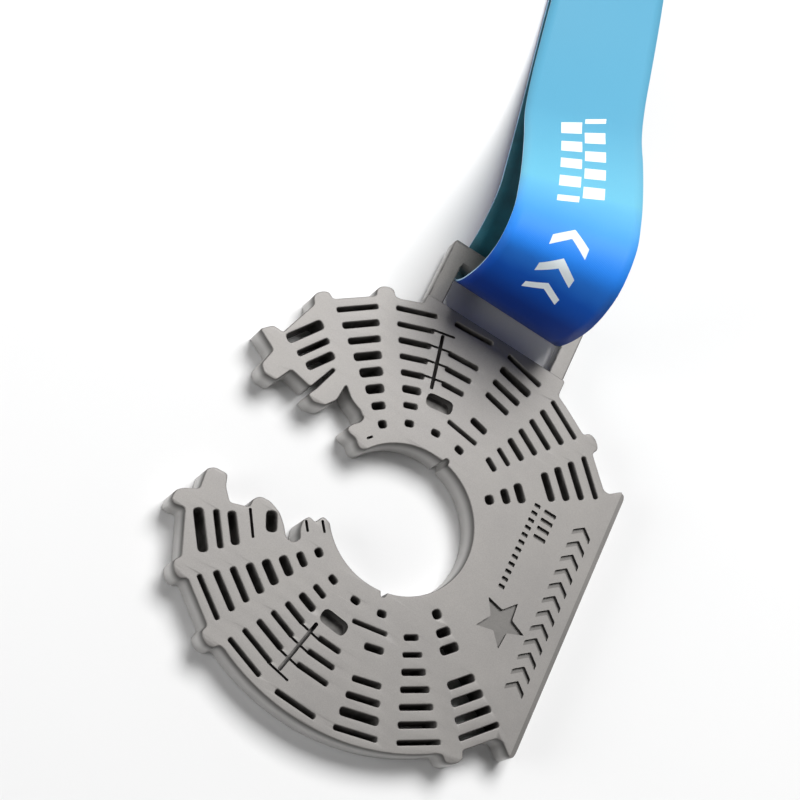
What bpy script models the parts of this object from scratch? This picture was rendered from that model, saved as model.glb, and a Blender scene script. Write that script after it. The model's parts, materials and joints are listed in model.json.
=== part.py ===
"""Sports finisher medal: a pierced, die-cast open ring with a ribbon frame, on a satin neck ribbon.

The medal lies face up on its back. X runs from the open side of the ring to its flat-sided
plate, Y runs towards the ribbon frame, and Z is up. Sizes are metres, angles are degrees, and
angles are counted counter-clockwise from +X around the centre of the ring.
"""

import math

import bmesh
import bpy
from mathutils import Vector

MM = 0.001

# Casting
HOLE_RADIUS = 15.0 * MM
RIM_RADIUS = 44.8 * MM
BODY_THICKNESS = 6.5 * MM
PLATE_REACH = 0.89 * RIM_RADIUS
PLATE_ANGLE = 36.8
PLATE_NICK = 3.6 * MM
SPOKE_WIDTH = 4.0 * MM
TIP_REACH = 2.3 * MM
HOLE_NICK_DEPTH = 1.1 * MM
HOLE_NICK_ANGLE = 2.4

# Work sunk into the face
ENGRAVING_DEPTH = 0.6 * MM
RECESS_DEPTH = 2.2 * MM
GROOVE_WIDTH = 0.8 * MM
GROOVE_LENGTH = 0.4 * (RIM_RADIUS - HOLE_RADIUS)
WELL_WIDTH = 0.1 * (RIM_RADIUS - HOLE_RADIUS)
WELL_LENGTH = 5.8 * MM
EDGE_STEP = 1.1 * MM
STAR_RADIUS = 5.0 * MM
ARROWS = 12
ARROW_PITCH = 3.2 * MM
TALLIES = 12
TALLY_PITCH = 1.7 * MM
BARS = 4
BAR_PITCH = 1.9 * MM
CUT_MARGIN = 1.0 * MM

# Ribbon and the frame that it passes through
RIBBON_WIDTH = 25.0 * MM
RIBBON_THICKNESS = 0.5 * MM
RIBBON_SIDE_CLEARANCE = 0.5 * MM
FRAME_CENTRE_X = 1.55 * MM
FRAME_ARM = 3.65 * MM
FRAME_WINDOW = 9.6 * MM
FRAME_THICKNESS = 3.2 * MM
FRAME_DROP = 1.0 * MM
FRAME_HEIGHT = BODY_THICKNESS - FRAME_DROP - FRAME_THICKNESS / 2
FRAME_OVERLAP = 1.5 * MM
BAR_DEPTH = 5.3 * MM
BAR_ROUNDING = 1.2 * MM
WRAP_GAP = 0.2 * MM
TOUCH_GAP = 0.3 * MM

# The ring is divided into equal sectors.
SECTORS_AROUND = 21
SECTOR_ANGLE = 360.0 / SECTORS_AROUND

# Slots of each pierced sector, from the plate round to the open side. Each is the place of the
# slot between the hole (0) and the rim (1), and its width in millimetres.
SECTOR_SLOTS = (
    ((0.143, 1.8), (0.265, 1.6), (0.375, 1.7), (0.595, 1.5), (0.705, 1.5), (0.815, 1.3), (0.925, 1.0)),
    ((0.265, 1.1), (0.375, 0.9), (0.485, 1.2), (0.595, 1.1), (0.705, 1.1), (0.815, 1.2), (0.925, 0.9)),
    ((0.143, 1.3), (0.375, 1.3), (0.595, 1.1), (0.705, 1.2), (0.815, 1.6), (0.925, 1.0)),
    ((0.143, 1.3), (0.485, 1.0), (0.595, 1.0), (0.705, 1.0), (0.925, 1.0)),
    ((0.143, 1.3), (0.265, 1.1), (0.375, 1.4), (0.485, 1.1), (0.595, 1.0), (0.705, 1.1), (0.815, 0.9),
     (0.925, 0.9)),
    ((0.130, 1.5), (0.255, 1.4), (0.370, 1.7), (0.485, 1.7), (0.595, 1.5), (0.705, 1.2), (0.815, 1.2),
     (0.925, 0.9)),
    ((0.645, 1.6), (0.745, 1.1), (0.860, 1.9)),
)

# Ragged ends of the ring at its open side: (place between hole and rim, angle).
UPPER_OPEN_END = (
    (0.93, 149.8), (0.92, 151.4), (0.99, 152.6), (1.02, 156.2), (0.86, 156.8), (0.84, 162.3),
    (0.78, 163.7), (0.70, 162.6), (0.69, 156.0), (0.53, 154.2), (0.57, 142.6), (0.55, 142.2),
    (0.50, 152.4), (0.50, 156.6), (0.44, 156.8), (0.38, 153.6), (0.37, 147.4), (0.44, 140.4),
    (0.34, 140.8), (0.29, 139.8), (0.25, 138.6), (0.215, 138.8), (0.20, 138.2), (0.178, 141.0),
    (0.188, 146.4), (0.178, 150.3), (0.146, 150.7), (0.093, 148.6), (0.065, 149.6), (0.02, 150.0),
)
LOWER_OPEN_END = (
    (0.04, -150.6), (0.10, -146.6), (0.13, -150.2), (0.18, -148.2), (0.21, -143.2), (0.22, -138.4),
    (0.27, -137.4), (0.31, -140.0), (0.31, -146.0), (0.33, -151.4), (0.39, -155.8), (0.46, -157.4),
    (0.51, -155.9), (0.53, -152.9), (0.66, -153.9), (0.69, -158.6), (0.69, -162.6), (0.78, -163.6),
    (0.83, -162.6), (0.86, -156.8), (0.96, -156.4), (1.01, -155.7), (1.04, -153.4), (1.02, -152.2),
    (0.95, -151.4),
)
HOLE_ARC_END = 146.0

# Ribbon routes from the bar out to the fold: x from the middle of the frame, y from the bar and z
# above the table in millimetres, then the turn of its width to the left and the rise of its right
# edge in degrees.
FRONT_ROUTE = (
    (-0.4, -8.2, 13.0, 0, 3), (-1.0, -9.2, 24.0, 0, 6), (-2.0, -6.8, 32.6, 2, 10),
    (-2.8, 0.4, 34.6, 5, 14), (-3.2, 9.4, 30.6, 7, 16), (-3.4, 19.0, 24.5, 8, 18),
    (-3.6, 28.8, 17.6, 10, 19), (-4.4, 38.6, 11.4, 11, 19), (-5.4, 48.8, 7.4, 11, 16),
    (-6.8, 60.4, 4.8, 11, 12), (-8.8, 73.4, 3.2, 11, 6), (-11.0, 85.4, 2.3, 11, 1),
    (-12.0, 90.4, 2.15, 11, 0),
)
BACK_ROUTE = (
    (0.0, 9.4, 3.6, 0, 0), (-0.2, 18.4, 3.8, 0, 0), (-1.2, 28.4, 2.4, 4, 0),
    (-2.6, 38.4, 1.4, 8, 0), (-4.6, 49.8, 1.0, 10, 0), (-6.8, 61.4, 0.85, 11, 0),
    (-9.0, 73.4, 0.85, 11, 0), (-11.0, 85.4, 0.85, 11, 0), (-12.0, 90.4, 0.85, 11, 0),
)
FOLD_RUNS = 3
FOLD_HEADING = 11.0
FOLD_LENGTH = 94.0 * MM
FOLD_SETBACK = 4.0 * MM
FOLD_RISE = 4.2 * MM
LAYER_OFFSET = 0.65 * MM


def clear_scene():
    """Remove every object that the file starts with."""
    for item in list(bpy.data.objects):
        bpy.data.objects.remove(item, do_unlink=True)


def new_collection(name):
    group = bpy.data.collections.new(name)
    bpy.context.scene.collection.children.link(group)
    return group


def new_material(name, color, metallic, roughness):
    material = bpy.data.materials.new(name)
    material.use_nodes = True
    shader = material.node_tree.nodes["Principled BSDF"]
    shader.inputs["Base Color"].default_value = (*color, 1.0)
    shader.inputs["Metallic"].default_value = metallic
    shader.inputs["Roughness"].default_value = roughness
    return material


def polar(radius, degrees):
    """Point at an angle around the centre of the ring."""
    angle = math.radians(degrees)
    return (radius * math.cos(angle), radius * math.sin(angle))


def across_ring(place):
    """Radius of a place between the hole (0) and the rim (1)."""
    return HOLE_RADIUS + place * (RIM_RADIUS - HOLE_RADIUS)


def arc(radius, start, end, step=3.0):
    """Points of an arc of the ring, including both ends."""
    count = max(1, round(abs(end - start) / step))
    return [polar(radius, start + (end - start) * i / count) for i in range(count + 1)]


def spoke_tip(degrees, side):
    """End of a spoke that stands out past the rim. side is 1 going round, -1 going back."""
    half = math.degrees(SPOKE_WIDTH / 2 / RIM_RADIUS)
    return [
        polar(RIM_RADIUS + 0.15 * TIP_REACH, degrees - side * half),
        polar(RIM_RADIUS + 0.8 * TIP_REACH, degrees - side * 0.85 * half),
        polar(RIM_RADIUS + TIP_REACH, degrees - side * 0.3 * half),
        polar(RIM_RADIUS + TIP_REACH, degrees + side * 0.4 * half),
        polar(RIM_RADIUS + 0.7 * TIP_REACH, degrees + side * 0.95 * half),
        polar(RIM_RADIUS + 0.1 * TIP_REACH, degrees + side * 1.05 * half),
    ]


def notch(degrees):
    """Small round nick in the edge of the central hole, passed clockwise."""
    deep = HOLE_RADIUS + HOLE_NICK_DEPTH
    return [
        polar(HOLE_RADIUS, degrees + HOLE_NICK_ANGLE),
        polar(deep, degrees + 0.6 * HOLE_NICK_ANGLE),
        polar(deep, degrees - 0.6 * HOLE_NICK_ANGLE),
        polar(HOLE_RADIUS, degrees - HOLE_NICK_ANGLE),
    ]


def spoke(number):
    """Angle of a spoke, counted from the plate's side of the first pierced sector."""
    return (number + 2) * SECTOR_ANGLE


def frame_sides():
    """Left and right outer edges of the ribbon frame."""
    half = RIBBON_WIDTH / 2 + RIBBON_SIDE_CLEARANCE + FRAME_ARM
    return FRAME_CENTRE_X - half, FRAME_CENTRE_X + half


def rim_at(x):
    """Angle at which the rim has a given x on the frame's side."""
    return math.degrees(math.acos(x / RIM_RADIUS))


def plate_corner(side):
    """Corner of the flat-sided plate with the nick beside it, from the ring out to the corner."""
    x, nick = PLATE_REACH, PLATE_REACH - PLATE_NICK
    slope, nick_slope = math.tan(math.radians(PLATE_ANGLE)), math.tan(math.radians(PLATE_ANGLE + 1.1))
    return [
        polar(RIM_RADIUS + 0.1 * TIP_REACH, side * (PLATE_ANGLE + 2.2)),
        (nick, side * nick * nick_slope),
        (x - 1.2 * MM, side * (x * slope + 0.4 * MM)),
        (x - 0.3 * MM, side * (x * slope + 0.2 * MM)),
        (x, side * (x * slope - 0.8 * MM)),
    ]


def body_outline():
    """Edge of the casting: round the rim, back along the central hole, and round its open ends."""
    left, right = frame_sides()
    pad_top = RIM_RADIUS - 0.2 * MM
    upper_end = [polar(across_ring(place), angle) for place, angle in UPPER_OPEN_END]
    lower_end = [polar(across_ring(place), angle) for place, angle in LOWER_OPEN_END]
    rim = plate_corner(1)[::-1]
    rim += spoke_tip(spoke(1), 1)
    rim += arc(RIM_RADIUS, spoke(1) + 8, rim_at(right), 5.0)
    rim += [(right, pad_top), (left, pad_top)]
    rim += arc(RIM_RADIUS, rim_at(left), spoke(5) - 4, 5.0)
    rim += spoke_tip(spoke(5), 1) + spoke_tip(spoke(6), 1)
    hole = arc(HOLE_RADIUS, HOLE_ARC_END, 83) + notch(79) + arc(HOLE_RADIUS, 75, -75) + notch(-79)
    hole += arc(HOLE_RADIUS, -83, -HOLE_ARC_END)
    lower_rim = spoke_tip(-spoke(6), 1) + spoke_tip(-spoke(5), 1)
    lower_rim += arc(RIM_RADIUS, 4 - spoke(5), -spoke(1) - 4)
    lower_rim += spoke_tip(-spoke(1), 1) + plate_corner(-1)
    return rim + upper_end + hole + lower_end + lower_rim


def slot(radius, degrees, length, width, turn=90.0):
    """Slot with eased corners, centred at a radius, at right angles to it unless turned."""
    ease = 0.3 * min(length, width)
    half, wide = length / 2, width / 2
    corners = ((half, wide - ease), (half - ease, wide), (ease - half, wide), (-half, wide - ease),
               (-half, ease - wide), (ease - half, -wide), (half - ease, -wide), (half, ease - wide))
    direction = math.radians(degrees + turn)
    x, y = polar(radius, degrees)
    cosine, sine = math.cos(direction), math.sin(direction)
    return [(x + u * cosine - v * sine, y + u * sine + v * cosine)
            for u, v in corners]


def sector_slots():
    """Every slot that pierces the ring."""
    slots = []
    for number, rows in enumerate(SECTOR_SLOTS):
        angle = (number + 2.5) * SECTOR_ANGLE
        for place, width in rows:
            radius = across_ring(place)
            chord = 2 * radius * math.tan(math.radians(SECTOR_ANGLE / 2))
            length = chord - SPOKE_WIDTH
            for side in (1, -1):
                slots.append(slot(radius, side * angle, length, width * MM))
    for side in (1, -1):
        slots.append(slot(across_ring(0.255), side * (spoke(3) - 4.2), 7.2 * MM, 0.8 * MM))
    slots.append(slot(across_ring(0.39), -147.6, 4.0 * MM, 2.1 * MM, 83.0))
    return slots


def outline_mesh(name, outlines, bottom, top):
    """Closed mesh of flat outlines between two heights. An outline inside another is a hole."""
    curve = bpy.data.curves.new(name, "CURVE")
    curve.dimensions = "2D"
    curve.fill_mode = "BOTH"
    curve.extrude = (top - bottom) / 2
    for outline in outlines:
        spline = curve.splines.new("POLY")
        spline.points.add(len(outline) - 1)
        for point, (x, y) in zip(spline.points, outline):
            point.co = (x, y, 0.0, 1.0)
        spline.use_cyclic_u = True
    flat = bpy.data.objects.new(name, curve)
    flat.location.z = (top + bottom) / 2
    bpy.context.scene.collection.objects.link(flat)
    bpy.context.view_layer.update()
    mesh = bpy.data.meshes.new_from_object(flat.evaluated_get(bpy.context.evaluated_depsgraph_get()))
    mesh.transform(flat.matrix_world)
    bpy.data.objects.remove(flat, do_unlink=True)
    shape = bmesh.new()
    shape.from_mesh(mesh)
    bmesh.ops.remove_doubles(shape, verts=shape.verts, dist=1e-6)
    bmesh.ops.recalc_face_normals(shape, faces=shape.faces)
    shape.to_mesh(mesh)
    shape.free()
    mesh.name = name
    return mesh


def rectangle(x0, x1, y0, y1, ease):
    """Rectangle with eased corners."""
    return [(x0 + ease, y0), (x1 - ease, y0), (x1, y0 + ease), (x1, y1 - ease),
            (x1 - ease, y1), (x0 + ease, y1), (x0, y1 - ease), (x0, y0 + ease)]


def frame_window():
    """Sides and ends of the window that the ribbon passes through: x0, x1, y0, y1."""
    half = RIBBON_WIDTH / 2 + RIBBON_SIDE_CLEARANCE
    bottom = RIM_RADIUS + 0.1 * MM
    return FRAME_CENTRE_X - half, FRAME_CENTRE_X + half, bottom, bottom + FRAME_WINDOW


def bar_centre_y():
    return frame_window()[3] + BAR_DEPTH / 2


def ribbon_frame():
    """Frame for the ribbon, which is cast in one with the ring and thinner than it."""
    left, right = frame_sides()
    inset = 0.2 * MM
    x0, x1, y0, y1 = frame_window()
    outer = rectangle(left + inset, right - inset, RIM_RADIUS - FRAME_OVERLAP, y1 + BAR_DEPTH,
                      BAR_ROUNDING)
    window = rectangle(x0, x1, y0, y1, 0.8 * RIBBON_SIDE_CLEARANCE)
    bottom = FRAME_HEIGHT - FRAME_THICKNESS / 2
    return outline_mesh("ribbon_frame", [outer, window], bottom, bottom + FRAME_THICKNESS)


def bar_corner_cuts():
    """Strips that round off the long edges of the frame's bar, so that the ribbon rolls over it."""
    x0, x1, _, inner = frame_window()
    left, right = frame_sides()
    outer = inner + BAR_DEPTH
    low = FRAME_HEIGHT - FRAME_THICKNESS / 2
    high = FRAME_HEIGHT + FRAME_THICKNESS / 2
    section = [(-1.0, -1.0), (1.0, -1.0)]
    section += [(1.0 - math.sin(math.pi * i / 8), 1.0 - math.cos(math.pi * i / 8)) for i in range(5)]
    section += [(-1.0, 1.0)]
    shape = bmesh.new()
    for y, z, turn, start, end in ((inner, low, 0, x0, x1), (outer, low, 90, left - MM, right + MM),
                                   (outer, high, 180, left - MM, right + MM), (inner, high, 270, x0, x1)):
        cosine, sine = round(math.cos(math.radians(turn))), round(math.sin(math.radians(turn)))
        corners = [shape.verts.new((start, y + BAR_ROUNDING * (u * cosine - v * sine),
                                    z + BAR_ROUNDING * (u * sine + v * cosine))) for u, v in section]
        side = bmesh.ops.extrude_face_region(shape, geom=[shape.faces.new(corners)])
        moved = [item for item in side["geom"] if isinstance(item, bmesh.types.BMVert)]
        bmesh.ops.translate(shape, verts=moved, vec=(end - start, 0, 0))
    bmesh.ops.recalc_face_normals(shape, faces=shape.faces)
    mesh = bpy.data.meshes.new("bar_corner_cuts")
    shape.to_mesh(mesh)
    shape.free()
    return mesh


def star(x, y, radius):
    """Five-pointed star with one point along +X."""
    return [(x + r * math.cos(a), y + r * math.sin(a)) for r, a in
            ((radius if i % 2 == 0 else 0.45 * radius, math.pi * i / 5) for i in range(10))]


def chevron(x, y, length, width, stroke):
    """Arrowhead pointing along +Y, as wide as the row that it stands in."""
    left, right, back, front = x - width / 2, x + width / 2, y - length / 2, y + length / 2
    return [(left, back), (x, front - stroke), (right, back), (right, back + stroke), (x, front),
            (left, back + stroke)]


def across_plate(place):
    """X of a place between the hole (0) and the straight edge of the plate (1)."""
    return HOLE_RADIUS + place * (PLATE_REACH - HOLE_RADIUS)


def mark_row(left, right, start, pitch, count):
    """Row of small oblong marks that climbs along Y, between two places across the plate."""
    x0, x1 = across_plate(left), across_plate(right)
    height = 0.48 * pitch
    return [rectangle(x0, x1, start + i * pitch, start + i * pitch + height, 0.2 * height)
            for i in range(count)]


def engravings():
    """Shallow work on the plate: a star, a row of arrowheads, two rows of tallies and a low edge."""
    marks = [star(across_plate(0.458), -7.6 * MM, STAR_RADIUS)]
    marks += [chevron(across_plate(0.779), (i - (ARROWS - 1) / 2) * ARROW_PITCH, 0.9 * ARROW_PITCH,
                      1.3 * ARROW_PITCH, 0.37 * ARROW_PITCH) for i in range(ARROWS)]
    marks += mark_row(0.317, 0.373, -1.6 * MM, TALLY_PITCH, TALLIES)
    marks += mark_row(0.414, 0.526, 11.2 * MM, BAR_PITCH, BARS)
    low, high = PLATE_REACH - EDGE_STEP, PLATE_REACH + CUT_MARGIN
    corner = high * math.tan(math.radians(PLATE_ANGLE)) + CUT_MARGIN
    edge = [(low, -corner), (high, -corner), (high, corner), (low, corner)]
    return outline_mesh("engravings", marks + [edge], BODY_THICKNESS - ENGRAVING_DEPTH,
                        BODY_THICKNESS + CUT_MARGIN)


def sunk_lanes():
    """Deeper grooves across the slot rows, and the two rectangular wells beside the hole."""
    lanes = []
    for side in (1, -1):
        lanes.append(slot(across_ring(0.62), side * spoke(4), GROOVE_LENGTH, GROOVE_WIDTH, 0.0))
        lanes.append(slot(across_ring(0.345), side * (spoke(4) - 5.3), WELL_LENGTH, WELL_WIDTH))
    return outline_mesh("sunk_lanes", lanes, BODY_THICKNESS - RECESS_DEPTH, BODY_THICKNESS + CUT_MARGIN)


def add_cut(target, mesh, operation, tools):
    """Join or cut a body with a hidden tool object."""
    tool = bpy.data.objects.new(mesh.name, mesh)
    tool.hide_render = True
    tool.display_type = "WIRE"
    tools.objects.link(tool)
    change = target.modifiers.new(mesh.name, "BOOLEAN")
    change.operation = operation
    change.object = tool
    change.solver = "EXACT"


def medal_body(parts, tools, material):
    mesh = outline_mesh("medal_body", [body_outline()] + sector_slots(), 0.0, BODY_THICKNESS)
    body = bpy.data.objects.new("medal_body", mesh)
    parts.objects.link(body)
    body.data.materials.append(material)
    add_cut(body, ribbon_frame(), "UNION", tools)
    add_cut(body, bar_corner_cuts(), "DIFFERENCE", tools)
    add_cut(body, engravings(), "DIFFERENCE", tools)
    add_cut(body, sunk_lanes(), "DIFFERENCE", tools)
    return body


def curve_through(points, per_span):
    """Smooth curve through points of any number of values, as a list with its ends."""
    result = []
    for i in range(len(points) - 1):
        before = points[max(i - 1, 0)]
        after = points[min(i + 2, len(points) - 1)]
        for j in range(per_span):
            t = j / per_span
            result.append(tuple(
                0.5 * (2 * b + (c - a) * t + (2 * a - 5 * b + 4 * c - d) * t ** 2
                       + (3 * b - a - 3 * c + d) * t ** 3)
                for a, b, c, d in zip(before, points[i], points[i + 1], after)))
    result.append(tuple(points[-1]))
    return result


def stations(points, per_span=5):
    """Centre and width direction of the ribbon at each step along a route."""
    result = []
    for x, y, z, turn, rise in curve_through(points, per_span):
        turn, rise = math.radians(turn), math.radians(rise)
        across = Vector((math.cos(turn) * math.cos(rise), math.sin(turn) * math.cos(rise),
                         math.sin(rise)))
        result.append((Vector((x, y, z)), across))
    return result


def from_bar(route):
    """Points of a route, in metres and placed from the middle of the frame and its bar."""
    return [(FRAME_CENTRE_X + x * MM, bar_centre_y() + y * MM, z * MM, turn, rise)
            for x, y, z, turn, rise in route]


def wrap_height():
    """Height of the ribbon under the bar, clear of the bar's corners as it swings round them."""
    corner = math.hypot(BAR_DEPTH / 2 - BAR_ROUNDING, FRAME_THICKNESS / 2 - BAR_ROUNDING)
    reach = corner + BAR_ROUNDING + WRAP_GAP + RIBBON_THICKNESS / 2
    return max(FRAME_HEIGHT - reach, RIBBON_THICKNESS)


def bar_side(side):
    """Where the ribbon leaves the underside of the bar. side is 1 for the back run, -1 for the front."""
    y = bar_centre_y() + side * 0.92 * BAR_DEPTH / 2
    return (FRAME_CENTRE_X, y, wrap_height() + RIBBON_THICKNESS, 0, 0)


def bar_turn_route():
    """Ribbon round the underside of the bar, from the back run to the front run."""
    return [bar_side(1), (FRAME_CENTRE_X, bar_centre_y(), wrap_height(), 0, 0), bar_side(-1)]


def front_route():
    """Ribbon that rises through the window and arches over the bar and back down to the table."""
    risen = (FRAME_CENTRE_X, bar_centre_y() - BAR_DEPTH, FRAME_HEIGHT + TOUCH_GAP, 0, 0)
    return [bar_side(-1), risen] + from_bar(FRONT_ROUTE)


def back_route():
    """Ribbon that runs out from under the bar, below the front run."""
    return [bar_side(1)] + from_bar(BACK_ROUTE)


def fold_stations(offset):
    """Zigzag of one layer of the doubled ribbon: out, back and out again, each run on the last."""
    heading = math.radians(FOLD_HEADING)
    forward = Vector((-math.sin(heading), math.cos(heading), 0))
    across = Vector((math.cos(heading), math.sin(heading), 0))
    layer_heights = (FRONT_ROUTE[-1][2] + BACK_ROUTE[-1][2]) / 2 * MM
    x, y = from_bar(BACK_ROUTE)[-1][:2]
    base = Vector((x, y, layer_heights))
    path = []
    for run in range(FOLD_RUNS):
        direction = 1 if run % 2 == 0 else -1
        height = run * FOLD_RISE + direction * offset
        start = 0.0 if run == 0 else FOLD_LENGTH if direction == -1 else FOLD_SETBACK
        end = FOLD_LENGTH if direction == 1 else FOLD_SETBACK
        if run == FOLD_RUNS - 1:
            end -= direction * FOLD_SETBACK
        path += [(start + (end - start) * i / 4, height) for i in range(5)]
        if run < FOLD_RUNS - 1:
            bend = FOLD_RISE / 2 - direction * offset
            for i in range(1, 8):
                angle = math.pi * i / 8
                path.append((end + direction * bend * math.sin(angle),
                             run * FOLD_RISE + FOLD_RISE / 2 - bend * math.cos(angle)))
    return [(base + forward * u + Vector((0, 0, w)), across) for u, w in path]


def ribbon_strip(name, path, parts, material):
    """Flat length of ribbon along its stations, held back at both ends from what it meets."""
    centres = [centre for centre, _ in path]
    hold = TOUCH_GAP / 2
    centres[0] = centres[0] + (centres[1] - centres[0]).normalized() * hold
    centres[-1] = centres[-1] + (centres[-2] - centres[-1]).normalized() * hold
    shape = bmesh.new()
    edges = []
    for centre, (_, across) in zip(centres, path):
        pair = [shape.verts.new(centre + across * side * RIBBON_WIDTH / 2) for side in (-1, 1)]
        edges.append(shape.edges.new(pair))
    for first, second in zip(edges, edges[1:]):
        shape.faces.new((first.verts[0], first.verts[1], second.verts[1], second.verts[0]))
    mesh = bpy.data.meshes.new(name)
    shape.to_mesh(mesh)
    shape.free()
    strip = bpy.data.objects.new(name, mesh)
    strip.data.materials.append(material)
    parts.objects.link(strip)
    thicken = strip.modifiers.new("thickness", "SOLIDIFY")
    thicken.thickness = RIBBON_THICKNESS
    thicken.offset = 0.0
    thicken.use_even_offset = True
    return strip


def ribbon(parts, material):
    """The ribbon in the lengths between its turn at the bar and its sewn ends."""
    lengths = (
        ("ribbon_bar_turn", stations(bar_turn_route())),
        ("ribbon_front_run", stations(front_route())),
        ("ribbon_back_run", stations(back_route())),
        ("ribbon_front_folds", fold_stations(LAYER_OFFSET)),
        ("ribbon_back_folds", fold_stations(-LAYER_OFFSET)),
    )
    return [ribbon_strip(name, path, parts, material) for name, path in lengths]


def new_empty(name, parts, location):
    empty = bpy.data.objects.new(name, None)
    empty.location = location
    parts.objects.link(empty)
    return empty


def centre_on_footprint(root, pieces):
    """Move the assembly so that the middle of its footprint is the origin."""
    bpy.context.view_layer.update()
    graph = bpy.context.evaluated_depsgraph_get()
    corners = []
    for piece in pieces:
        shaped = piece.evaluated_get(graph)
        corners += [shaped.matrix_world @ vertex.co for vertex in shaped.data.vertices]
    middle = [(min(c[i] for c in corners) + max(c[i] for c in corners)) / 2 for i in range(2)]
    root.location = (-middle[0], -middle[1], -min(c.z for c in corners))
    bpy.context.view_layer.update()


def build_medal():
    clear_scene()
    parts = new_collection("sports_finisher_medal")
    tools = new_collection("cutters")
    nickel = new_material("brushed_nickel", (0.39, 0.37, 0.35), 1.0, 0.5)
    satin = new_material("blue_satin", (0.02, 0.19, 0.87), 0.0, 0.4)
    root = new_empty("medal_frame", parts, (0, 0, 0))
    swing = new_empty("ribbon_swing_axis", parts, (FRAME_CENTRE_X, bar_centre_y(), FRAME_HEIGHT))
    body = medal_body(parts, tools, nickel)
    strips = ribbon(parts, satin)
    bpy.context.view_layer.update()
    swing.parent = root
    body.parent = root
    for tool in tools.objects:
        tool.parent = root
    for strip in strips:
        strip.parent = swing
        strip.matrix_parent_inverse = swing.matrix_world.inverted()
    centre_on_footprint(root, [body, *strips])


build_medal()
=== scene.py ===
"""Sports finisher medal: a pierced, open-ring die casting on a printed satin neck ribbon.

The medal lies face up. X runs from the open side of the ring to its flat-sided plate, Y runs towards
the ribbon frame, and Z is up. Shapes are worked out around the centre of the ring, in metres and
degrees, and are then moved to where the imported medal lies.
"""

import json
import math

import bmesh
import bpy
from bpy.props import FloatProperty, FloatVectorProperty, IntProperty, PointerProperty
from mathutils import Matrix, Vector


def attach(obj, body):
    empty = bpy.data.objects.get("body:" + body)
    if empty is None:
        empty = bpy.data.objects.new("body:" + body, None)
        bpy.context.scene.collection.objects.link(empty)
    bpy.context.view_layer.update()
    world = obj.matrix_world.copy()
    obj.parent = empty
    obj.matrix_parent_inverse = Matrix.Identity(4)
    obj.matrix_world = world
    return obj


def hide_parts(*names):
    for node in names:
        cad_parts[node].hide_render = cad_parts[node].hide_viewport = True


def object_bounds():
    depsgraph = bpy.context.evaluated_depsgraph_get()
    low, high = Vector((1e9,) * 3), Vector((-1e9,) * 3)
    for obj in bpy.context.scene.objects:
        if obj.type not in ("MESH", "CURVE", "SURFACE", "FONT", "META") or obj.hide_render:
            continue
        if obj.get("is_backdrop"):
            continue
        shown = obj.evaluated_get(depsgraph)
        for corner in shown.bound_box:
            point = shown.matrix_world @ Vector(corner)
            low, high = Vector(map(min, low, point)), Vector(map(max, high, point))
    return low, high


bl_info = {
    "name": "Finisher Medal",
    "version": (1, 0, 0),
    "blender": (4, 5, 0),
    "location": "View3D > Sidebar > Medal",
    "description": "Builds a pierced sports finisher medal on its printed satin ribbon",
    "category": "Add Mesh",
}

MM = 0.001
SECTORS_AROUND = 21
SECTOR_ANGLE = 360.0 / SECTORS_AROUND

# Slots of each pierced sector, from the plate round to the open side. Each is the place of the
# slot between the hole (0) and the rim (1), and its width in millimetres.
SECTOR_SLOTS = (
    ((0.143, 1.8), (0.265, 1.6), (0.375, 1.7), (0.595, 1.5), (0.705, 1.5), (0.815, 1.3), (0.925, 1.0)),
    ((0.265, 1.1), (0.375, 0.9), (0.485, 1.2), (0.595, 1.1), (0.705, 1.1), (0.815, 1.2), (0.925, 0.9)),
    ((0.143, 1.3), (0.375, 1.3), (0.595, 1.1), (0.705, 1.2), (0.815, 1.6), (0.925, 1.0)),
    ((0.143, 1.3), (0.485, 1.0), (0.595, 1.0), (0.705, 1.0), (0.925, 1.0)),
    ((0.143, 1.3), (0.265, 1.1), (0.375, 1.4), (0.485, 1.1), (0.595, 1.0), (0.705, 1.1), (0.815, 0.9),
     (0.925, 0.9)),
    ((0.130, 1.5), (0.255, 1.4), (0.370, 1.7), (0.485, 1.7), (0.595, 1.5), (0.705, 1.2), (0.815, 1.2),
     (0.925, 0.9)),
    ((0.645, 1.6), (0.745, 1.1), (0.860, 1.9)),
)

# Ragged ends of the ring at its open side: (place between hole and rim, angle).
UPPER_OPEN_END = (
    (0.93, 149.8), (0.92, 151.4), (0.99, 152.6), (1.02, 156.2), (0.86, 156.8), (0.84, 162.3),
    (0.78, 163.7), (0.70, 162.6), (0.69, 156.0), (0.53, 154.2), (0.57, 142.6), (0.55, 142.2),
    (0.50, 152.4), (0.50, 156.6), (0.44, 156.8), (0.38, 153.6), (0.37, 147.4), (0.44, 140.4),
    (0.34, 140.8), (0.29, 139.8), (0.25, 138.6), (0.215, 138.8), (0.20, 138.2), (0.178, 141.0),
    (0.188, 146.4), (0.178, 150.3), (0.146, 150.7), (0.093, 148.6), (0.065, 149.6), (0.02, 150.0),
)
LOWER_OPEN_END = (
    (0.04, -150.6), (0.10, -146.6), (0.13, -150.2), (0.18, -148.2), (0.21, -143.2), (0.22, -138.4),
    (0.27, -137.4), (0.31, -140.0), (0.31, -146.0), (0.33, -151.4), (0.39, -155.8), (0.46, -157.4),
    (0.51, -155.9), (0.53, -152.9), (0.66, -153.9), (0.69, -158.6), (0.69, -162.6), (0.78, -163.6),
    (0.83, -162.6), (0.86, -156.8), (0.96, -156.4), (1.01, -155.7), (1.04, -153.4), (1.02, -152.2),
    (0.95, -151.4),
)
HOLE_ARC_END = 146.0
HOLE_NICK_ANGLE = 2.4
HOLE_NICK_DEPTH = 1.1 * MM
PLATE_ANGLE = 36.8
PLATE_REACH = 0.89
EDGE_STEP = 1.1 * MM

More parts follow.
